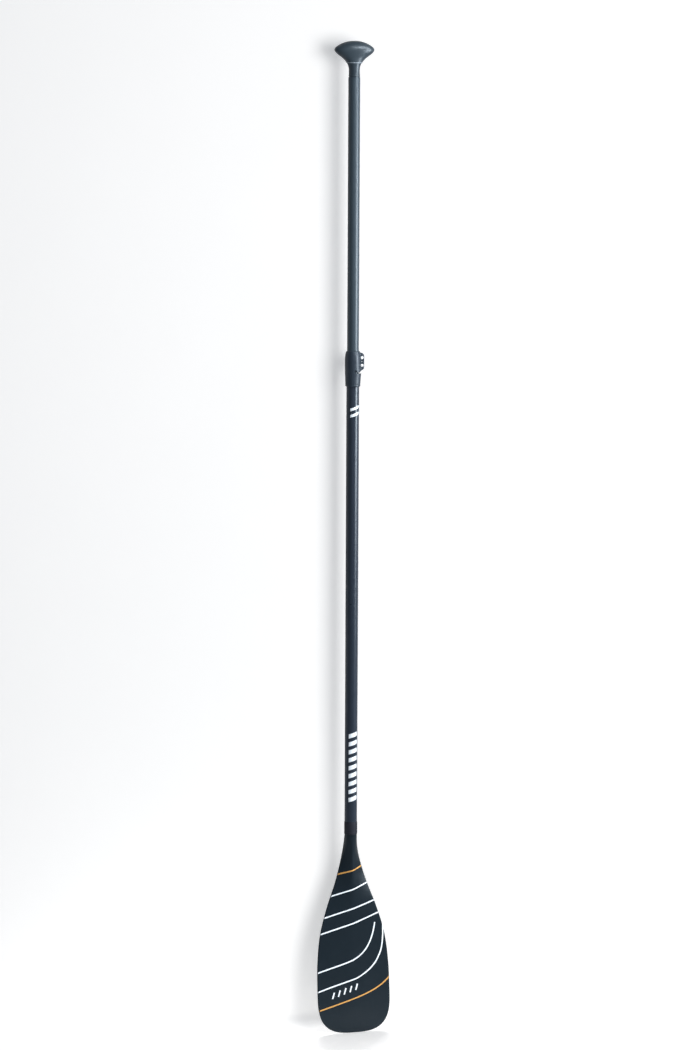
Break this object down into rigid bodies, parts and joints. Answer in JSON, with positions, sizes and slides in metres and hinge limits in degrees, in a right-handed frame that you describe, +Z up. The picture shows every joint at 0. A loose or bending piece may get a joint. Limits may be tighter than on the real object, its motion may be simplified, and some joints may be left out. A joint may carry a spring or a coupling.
{
  "type": "single blade paddle",
  "caption": "Telescopic single blade paddle: palm grip, round shaft with a cam-lever clamp, and a canted blade on a snap-button stub.",
  "frame": {"origin": "on the shaft's axis, at the middle of the full length, where a hand or a clip holds the lower shaft", "axes": "+Z up the shaft to the grip, +X across the blade towards the clamp's ear, +Y out of the blade's back, so that -Y is its front"},
  "size_m": [0.1688, 0.062, 2.2],
  "materials": {
    "shaft": "satin carbon-look tube with a fine clear coat",
    "grip": "moulded black plastic, satin",
    "collar": "moulded black nylon, satin, fine grain",
    "lever": "moulded black nylon, satin",
    "ferrule": "matt black plastic",
    "stub": "black plastic, matt",
    "blade": "satin black laminate with printed stripes under a clear coat",
    "core": "rigid pale foam",
    "plug": "closed-cell grey foam",
    "bush": "natural nylon",
    "steel": "stainless steel, lightly brushed"
  },
  "bodies": {
    "root": {"lower_shaft": "shaft", "clamp_collar": "collar", "clamp_bolt_upper": "steel", "clamp_bolt_lower": "steel", "thrust_plate": "steel", "barrel_nut": "steel", "lower_float_plug": "plug", "ferrule": "ferrule", "blade_stub": "stub", "stub_plug": "plug", "button_spring": "steel", "blade_front_shell": "blade", "blade_back_shell": "blade", "blade_core": "core"},
    "guide": {"guide_bush": "bush"},
    "handle": {"grip_knob": "grip", "grip_neck": "grip", "upper_shaft": "shaft", "upper_float_plug": "plug", "shaft_end_plug": "stub", "bush_washer": "steel", "bush_screw": "steel"},
    "lever": {"clamp_lever": "lever"},
    "button": {"snap_button": "steel"}
  },
  "joints": [
    {"name": "handle_slide", "type": "slide", "parent": "root", "child": "guide", "axis": [0, 0, -1], "range_m": [0, 0.5]},
    {"name": "handle_twist", "type": "hinge", "parent": "guide", "child": "handle", "pos_m": [0, 0, 0.19], "axis": [0, 0, 1], "continuous": true},
    {"name": "lever_pivot", "type": "hinge", "parent": "root", "child": "lever", "pos_m": [0.0178, 0.0161, 0.4032], "axis": [0, 0, -1], "range_deg": [0, 140]},
    {"name": "button_press", "type": "slide", "parent": "root", "child": "button", "axis": [0, -1, 0], "range_m": [0, 0.0035], "stiffness_N_per_m": 1500, "springref_m": -0.002, "deforming": ["button_spring"]}
  ]
}
